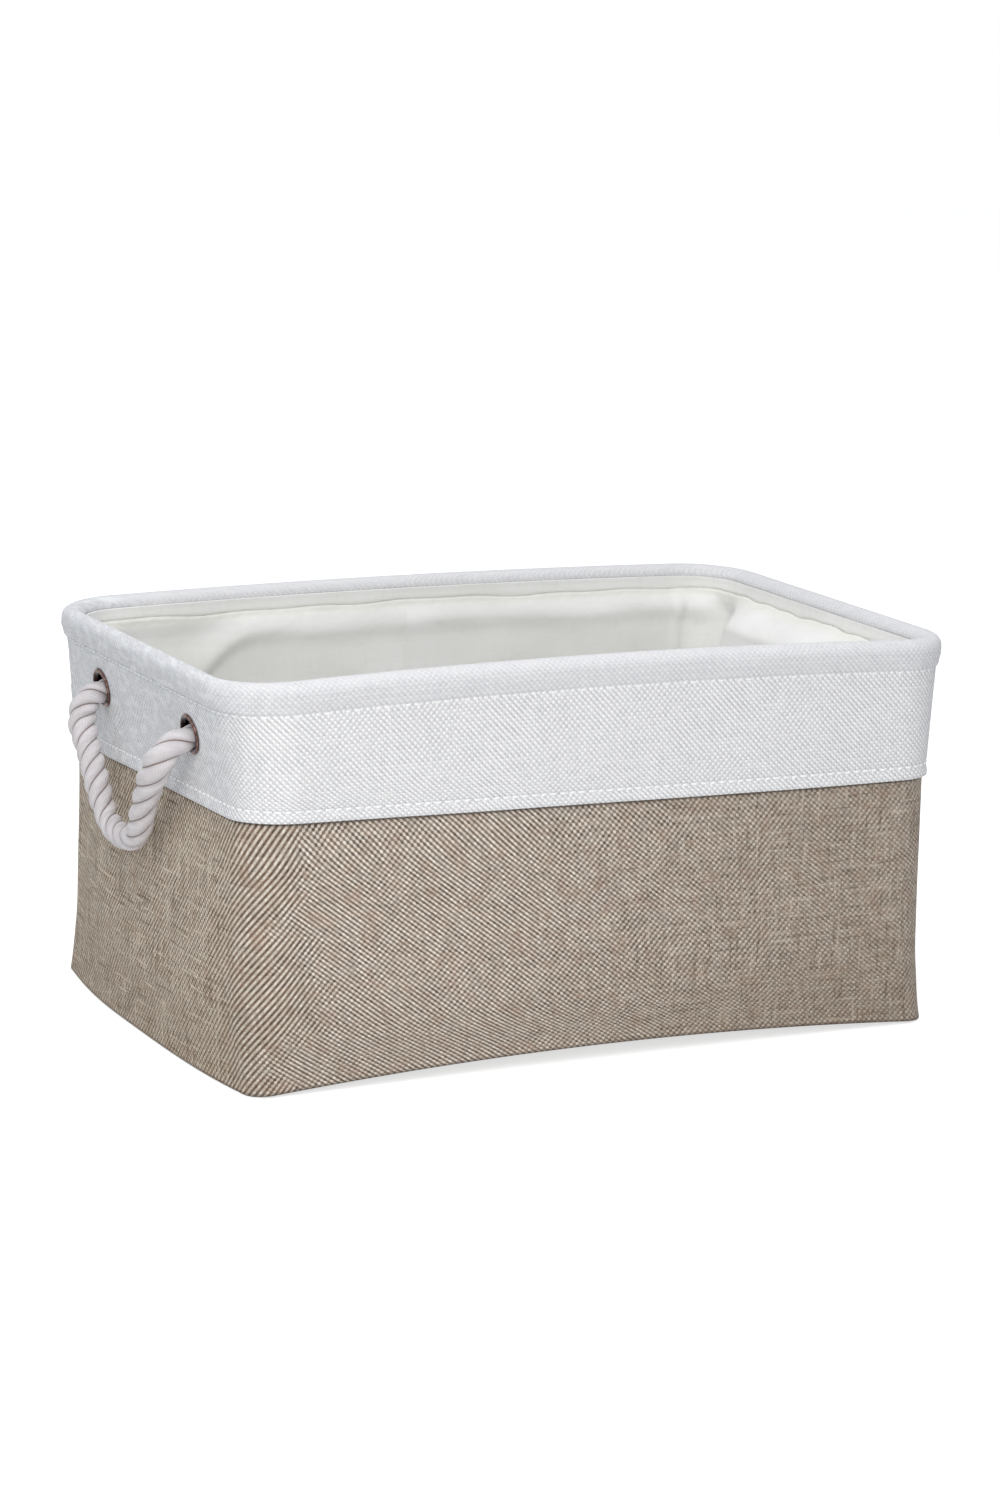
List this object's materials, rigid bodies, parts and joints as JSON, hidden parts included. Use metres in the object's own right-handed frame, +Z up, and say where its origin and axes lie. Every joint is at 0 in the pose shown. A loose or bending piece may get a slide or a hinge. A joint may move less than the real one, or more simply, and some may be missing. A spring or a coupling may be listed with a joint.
{
  "type": "fabric storage bin",
  "caption": "Open rectangular fabric storage bin with a wired rim, a contrast band over a woven body, a lining, and a swinging rope handle at each end.",
  "frame": {"origin": "middle of the base, on the surface that the bin stands on", "axes": "+X along the bin's length, towards the handle that the picture hides; +Y towards the back wall; +Z up"},
  "size_m": [0.4214, 0.2586, 0.2],
  "materials": {
    "linen": "heathered faux-linen plain weave, beige and brown yarns",
    "white_fabric": "white faux-linen plain weave",
    "board": "off-white stiffening sheet",
    "lining": "fine cream lining cloth",
    "wire": "drawn steel wire",
    "eyelet": "dark antique copper plating",
    "rope": "off-white three-strand twisted cotton rope"
  },
  "bodies": {
    "base": {"bottom_panel": "linen", "base_stiffener": "board", "lining_floor": "lining", "lower_wall": "linen", "lower_stiffener": "board", "lining_wall": "lining"},
    "rim": {"upper_band": "white_fabric", "upper_stiffener": "board", "rim_wire": "wire", "rim_hem": "white_fabric", "left_front_rope_pass": "rope", "left_front_eyelet": "eyelet", "left_front_washer": "eyelet", "left_front_knot": "rope", "left_back_rope_pass": "rope", "left_back_eyelet": "eyelet", "left_back_washer": "eyelet", "left_back_knot": "rope", "right_front_rope_pass": "rope", "right_front_eyelet": "eyelet", "right_front_washer": "eyelet", "right_front_knot": "rope", "right_back_rope_pass": "rope", "right_back_eyelet": "eyelet", "right_back_washer": "eyelet", "right_back_knot": "rope"},
    "left_handle": {"left_handle_rope": "rope"},
    "right_handle": {"right_handle_rope": "rope"}
  },
  "joints": [
    {"name": "rim_collapse", "type": "slide", "parent": "base", "child": "rim", "axis": [0, 0, 1], "range_m": [-0.085, 0], "deforming": ["lower_wall", "lower_stiffener", "lining_wall"]},
    {"name": "left_handle_swing", "type": "hinge", "parent": "rim", "child": "left_handle", "pos_m": [-0.203, -0.0035, 0.16], "axis": [0, 1, 0], "range_deg": [0, 150], "deforming": ["left_front_rope_pass", "left_back_rope_pass"]},
    {"name": "right_handle_swing", "type": "hinge", "parent": "rim", "child": "right_handle", "pos_m": [0.203, -0.0035, 0.16], "axis": [0, -1, 0], "range_deg": [0, 150], "deforming": ["right_front_rope_pass", "right_back_rope_pass"]}
  ]
}
